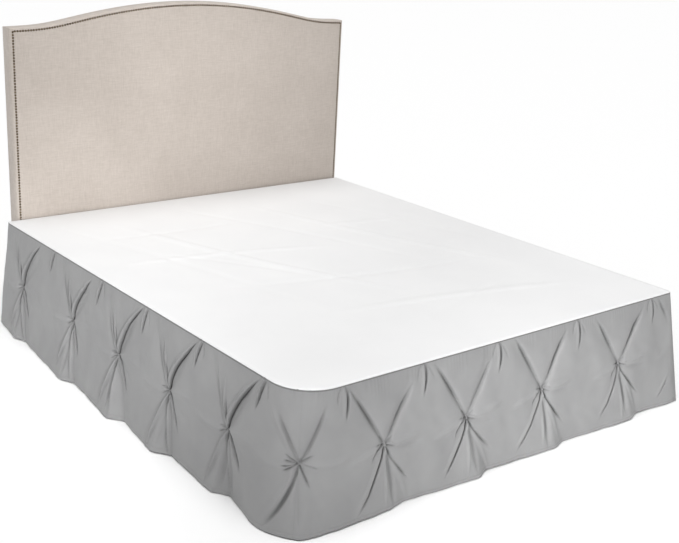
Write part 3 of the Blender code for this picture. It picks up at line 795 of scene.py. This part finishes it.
def deck_sheet(material):
    """The deck cloth, with long soft creases and an edge turned down over the seam."""
    xs = np.linspace(-HALF_WIDTH, HALF_WIDTH, 150)
    ys = np.linspace(FOOT_Y, HEAD_Y, 174)
    x, y = np.meshgrid(xs, ys, indexing="ij")
    z = np.zeros_like(x)
    for sx, sy, ex, ey, bow, width, depth in DECK_CREASES:
        length = math.hypot(ex - sx, ey - sy)
        ax, ay = (ex - sx) / length, (ey - sy) / length
        t = ((x - sx) * ax + (y - sy) * ay) / length
        inside = np.clip(t, 0, 1)
        across = -(x - sx) * ay + (y - sy) * ax - bow * 4 * inside * (1 - inside)
        fade = np.clip(np.minimum(t, 1 - t) / 0.3, 0, 1)
        fade = fade * fade * (3 - 2 * fade)
        q = across / width
        z -= depth * fade * np.exp(-q * q) * (1 - 0.8 * q)
    z += 0.0008 * np.sin(5 * x + 2 * np.sin(3 * y)) * np.sin(4 * y + x)
    z = np.maximum(z, -DECK_SAG)
    edge = np.minimum(HALF_WIDTH - np.abs(x), HEAD_Y - np.abs(y))
    z *= np.clip(edge / 0.05, 0, 1)
    for side, radius in ((-1, LEFT_FOOT_RADIUS), (1, RIGHT_FOOT_RADIUS)):
        cx, cy = side * (HALF_WIDTH - radius), FOOT_Y + radius
        u, v = side * (x - cx), cy - y
        corner = (u > 0) & (v > 0)
        reach = np.maximum(u, v) / np.maximum(np.hypot(u, v), 1e-9)
        x = np.where(corner, cx + side * u * reach, x)
        y = np.where(corner, cy - v * reach, y)
    points = np.stack([x, y, DECK_TOP + z], axis=-1)
    obj = grid_object("deck_cloth", points, x, y, material, thickness=DECK_THICKNESS)
    lip = bmesh.new()
    lip.from_mesh(obj.data)
    rim = [e for e in lip.edges if e.is_boundary]
    for drop, out in ((0.0016, 0.0024), (0.0026, 0.0004)):
        made = bmesh.ops.extrude_edge_only(lip, edges=rim)
        moved = [v for v in made["geom"] if isinstance(v, bmesh.types.BMVert)]
        rim = [e for e in made["geom"] if isinstance(e, bmesh.types.BMEdge) and e.is_boundary]
        for vert in moved:
            away = rim_direction(vert.co.x, vert.co.y)
            vert.co.x += away[0] * out
            vert.co.y += away[1] * out
            vert.co.z -= drop
    lip.to_mesh(obj.data)
    lip.free()
    obj.data.shade_smooth()
    return obj


def rim_direction(x, y):
    """Outward direction in plan at a point on the deck's edge."""
    for side, radius in ((-1, LEFT_FOOT_RADIUS), (1, RIGHT_FOOT_RADIUS)):
        u, v = x - side * (HALF_WIDTH - radius), y - (FOOT_Y + radius)
        if side * u > 0 and v < 0:
            length = math.hypot(u, v)
            return u / length, v / length
    gaps = {
        (1, 0): HALF_WIDTH - x, (-1, 0): HALF_WIDTH + x,
        (0, 1): HEAD_Y - y, (0, -1): y - FOOT_Y,
    }
    return min(gaps, key=gaps.get)


def board_top(x):
    arch = BOARD_RISE - x * x / (2 * BOARD_ARCH_RADIUS)
    return BOARD_SHOULDER + (arch + math.hypot(arch, BOARD_BLEND)) / 2 - 0.004


def board_outline(inset, steps=120):
    """The board's outline, drawn in by inset, from its lower right round to its left."""
    half = BOARD_HALF_WIDTH - inset
    points = [(half, BOARD_BOTTOM + inset)]
    for i in range(steps + 1):
        x = half - 2 * half * i / steps
        slope = (board_top(x + 0.002) - board_top(x - 0.002)) / 0.004
        points.append((x, board_top(x) - inset * math.hypot(1, slope)))
    points.append((-half, BOARD_BOTTOM + inset))
    return points


def joined_loops(name, loops, material, sharp):
    """A closed body through loops of points, with edges over sharp degrees kept crisp."""
    bm = bmesh.new()
    loops = [[bm.verts.new(point) for point in loop] for loop in loops]
    for a, b in zip(loops, loops[1:]):
        for i in range(len(a)):
            j = (i + 1) % len(a)
            bm.faces.new((a[i], a[j], b[j], b[i]))
    bm.faces.new(loops[0])
    bm.faces.new(loops[-1])
    bmesh.ops.recalc_face_normals(bm, faces=bm.faces)
    mesh = bpy.data.meshes.new(name)
    bm.to_mesh(mesh)
    bm.free()
    mesh.materials.append(material)
    mesh.shade_smooth()
    mesh.set_sharp_from_angle(angle=math.radians(sharp))
    return linked(name, mesh)


def headboard(material):
    """Padded board: a rounded border, a shallow channel for the nails and a flat field."""
    loops = []
    for inset, depth in BOARD_PROFILE:
        y = BOARD_FRONT + depth
        loops.append([(BOARD_CENTRE_X + x, y, z) for x, z in resampled(board_outline(inset))])
    return joined_loops("headboard_pad", loops, material, 50)


def resampled(points, side_steps=24, bottom_steps=60):
    """The outline with its straight sides and bottom cut into short lengths."""
    right_low, arch, left_low = points[0], points[1:-1], points[-1]
    out = []
    for i in range(side_steps):
        t = i / side_steps
        out.append((right_low[0], right_low[1] + (arch[0][1] - right_low[1]) * t))
    out += arch
    for i in range(1, side_steps + 1):
        t = i / side_steps
        out.append((left_low[0], arch[-1][1] + (left_low[1] - arch[-1][1]) * t))
    for i in range(1, bottom_steps):
        t = i / bottom_steps
        out.append((left_low[0] + (right_low[0] - left_low[0]) * t, left_low[1]))
    return out


def nail_places():
    """Middle of each nail, edge to edge, up one side, over the arch and down the other."""
    path = board_outline(NAIL_INSET, 400)
    path = [(path[0][0], NAIL_START), *path[1:-1], (path[-1][0], NAIL_START)]
    lengths = [math.dist(a, b) for a, b in zip(path, path[1:])]
    total = sum(lengths)
    count = int(total / NAIL_PITCH)
    rng = np.random.default_rng(3)
    k, walked = 0, 0.0
    places = []
    for n in range(count):
        at = (n + 0.5) * total / count
        while walked + lengths[k] < at:
            walked += lengths[k]
            k += 1
        t = (at - walked) / lengths[k]
        x = path[k][0] + (path[k + 1][0] - path[k][0]) * t + rng.normal(0, NAIL_SLIP)
        z = path[k][1] + (path[k + 1][1] - path[k][1]) * t + rng.normal(0, NAIL_SLIP)
        places.append((BOARD_CENTRE_X + x, z))
    return places


def nailheads(material):
    """Domed nails in one mesh."""
    verts, faces = [], []
    for x, z in nail_places():
        first = len(verts)
        for radius, height in NAIL_RINGS:
            for a in range(NAIL_SIDES):
                angle = math.tau * a / NAIL_SIDES
                verts.append((
                    x + NAIL_RADIUS * radius * math.cos(angle),
                    BOARD_FRONT + NAIL_BASE - NAIL_HEIGHT * height,
                    z + NAIL_RADIUS * radius * math.sin(angle),
                ))
        verts.append((x, BOARD_FRONT + NAIL_BASE - NAIL_HEIGHT, z))
        for ring in range(len(NAIL_RINGS) - 1):
            low, high = first + ring * NAIL_SIDES, first + (ring + 1) * NAIL_SIDES
            for a in range(NAIL_SIDES):
                b = (a + 1) % NAIL_SIDES
                faces.append((low + a, low + b, high + b, high + a))
        top = first + (len(NAIL_RINGS) - 1) * NAIL_SIDES
        for a in range(NAIL_SIDES):
            faces.append((top + a, top + (a + 1) % NAIL_SIDES, len(verts) - 1))
        faces.append(tuple(first + a for a in reversed(range(NAIL_SIDES))))
    mesh = bpy.data.meshes.new("nailheads")
    mesh.from_pydata(verts, [], faces)
    mesh.materials.append(material)
    mesh.shade_smooth()
    return linked("nailheads", mesh)


def spring_plan(half_x, half_y):
    """The box spring's outline in plan, rounder at the near foot corner."""
    plan = []
    for cx, cy, start, radius in (
        (1, 1, 0.0, SPRING_CORNER), (-1, 1, 0.5, SPRING_CORNER),
        (-1, -1, 1.0, SPRING_FOOT_CORNER), (1, -1, 1.5, SPRING_CORNER),
    ):
        for i in range(9):
            angle = math.pi * (start + i / 16)
            plan.append((
                cx * (half_x - radius) + radius * math.cos(angle),
                cy * (half_y - radius) + radius * math.sin(angle),
            ))
    return dense(plan, 0.05)


def drawn_in(plan, inset, z):
    """Points of the closed outline at height z, moved inwards by inset."""
    points = []
    for i, (x, y) in enumerate(plan):
        before, after = plan[i - 1], plan[(i + 1) % len(plan)]
        tx, ty = after[0] - before[0], after[1] - before[1]
        length = math.hypot(tx, ty)
        points.append((x - inset * ty / length, y + inset * tx / length, z))
    return points


def piping_cord(name, plan, z, material):
    curve = bpy.data.curves.new(name, "CURVE")
    curve.dimensions = "3D"
    curve.bevel_depth = PIPING_RADIUS
    curve.bevel_resolution = 2
    spline = curve.splines.new("POLY")
    spline.points.add(len(plan) - 1)
    for point, (x, y) in zip(spline.points, plan):
        point.co = (x * 0.9975, y * 0.9978, z, 1)
    spline.use_cyclic_u = True
    curve.materials.append(material)
    return linked(name, curve)


def box_spring(material):
    """A covered box with a corded seam round its top and bottom."""
    low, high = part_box("box_spring")
    plan = spring_plan((high.x - low.x) / 2, (high.y - low.y) / 2)
    rows = (*SPRING_ROWS, (high.z - low.z - SPRING_TOP_GAP, SPRING_TOP_INSET))
    loops = [drawn_in(plan, inset, low.z + height) for height, inset in rows]
    box = joined_loops("spring_box", loops, material, 60)
    cords = [piping_cord(name, plan, low.z + height, material) for name, height in PIPING]
    return box, cords


def dense(plan, step):
    """The closed outline with points no further apart than step."""
    out = []
    for a, b in zip(plan, plan[1:] + plan[:1]):
        parts = max(1, int(math.dist(a, b) / step))
        for i in range(parts):
            t = i / parts
            out.append((a[0] + (b[0] - a[0]) * t, a[1] + (b[1] - a[1]) * t))
    return out


def stage():
    """A plain white floor, an even white world and the lights."""
    floor_mesh = bpy.data.meshes.new("studio_floor")
    size = 30.0
    floor_mesh.from_pydata(
        [(-size, -size, 0), (size, -size, 0), (size, size, 0), (-size, size, 0)], [],
        [(0, 1, 2, 3)],
    )
    floor = linked("studio_floor", floor_mesh)
    material, shader = new_material("studio_floor", 0.9)
    shader.inputs["Base Color"].default_value = (0.98, 0.98, 0.98, 1)
    floor_mesh.materials.append(material)
    world = bpy.data.worlds.new("studio")
    bpy.context.scene.world = world
    world.use_nodes = True
    back = world.node_tree.nodes["Background"]
    back.inputs[0].default_value = (1, 1, 1, 1)
    back.inputs[1].default_value = WORLD_LIGHT
    for row in LIGHTS:
        area_light(*row)
    overhead = bpy.data.lights.new("overhead", "SUN")
    overhead.energy = SUN_STRENGTH
    overhead.angle = math.radians(SUN_ANGLE)
    linked("overhead", overhead)
    bpy.context.scene.view_settings.view_transform = "Standard"


def area_light(name, place, aim, size, watts, spread):
    light = bpy.data.lights.new(name, "AREA")
    light.shape = "DISK"
    light.size = size
    light.energy = watts
    light.spread = math.radians(spread)
    obj = linked(name, light)
    obj.location = place
    obj.rotation_euler = (Vector(aim) - Vector(place)).to_track_quat("-Z", "Y").to_euler()


def camera():
    """The photograph's camera, from its place, three angles and lens."""
    yaw, pitch, roll = (math.radians(a) for a in (CAMERA_YAW, CAMERA_PITCH, CAMERA_ROLL))
    forward = Vector((
        math.sin(yaw) * math.cos(pitch), math.cos(yaw) * math.cos(pitch), -math.sin(pitch),
    ))
    right = Vector((math.cos(yaw), -math.sin(yaw), 0.0))
    up = right.cross(forward)
    rolled_right = math.cos(roll) * right + math.sin(roll) * up
    rolled_up = -math.sin(roll) * right + math.cos(roll) * up
    data = bpy.data.cameras.new("camera")
    data.lens = CAMERA_LENS
    data.sensor_width = 36.0
    obj = linked("camera", data)
    placed = Matrix((rolled_right, rolled_up, -forward)).transposed().to_4x4()
    placed.translation = Vector(CAMERA_PLACE)
    obj.matrix_world = placed
    bpy.context.scene.camera = obj


def dress():
    """Materials, and the pieces that take the place of the plain solids."""
    grey, white, beige = microfibre(), white_cotton(), linen()
    brass, cover, steel, wood = aged_brass(), ticking(), powder_steel(), stained_wood()
    spans = (
        ("left", 0.0, LEFT_SEAM, 2.55), ("foot", LEFT_SEAM, RIGHT_SEAM, 2.25),
        ("right", RIGHT_SEAM, RUN_LENGTH, 2.50),
    )
    for name, low, high, cut in spans:
        gap = 0.0002
        cloth = drop_sheet(f"drop_{name}_cloth", low + gap, high - gap, grey)
        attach(cloth, "root")
        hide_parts(f"drop_{name}")
    deck = deck_sheet(white)
    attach(deck, "root")
    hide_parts("deck_panel")
    board = headboard(beige)
    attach(board, "root")
    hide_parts("headboard")
    nails = nailheads(brass)
    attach(nails, "root")
    spring, cords = box_spring(cover)
    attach(spring, "root")
    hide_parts("box_spring")
    for cord in cords:
        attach(cord, "root")
    for name, obj in NODES.items():
        if name.startswith(("rail", "cross", "leg", "bracket")):
            obj.data.materials.clear()
            obj.data.materials.append(steel)
        if name.startswith("post"):
            obj.data.materials.clear()
            obj.data.materials.append(wood)


camera()
stage()
dress()
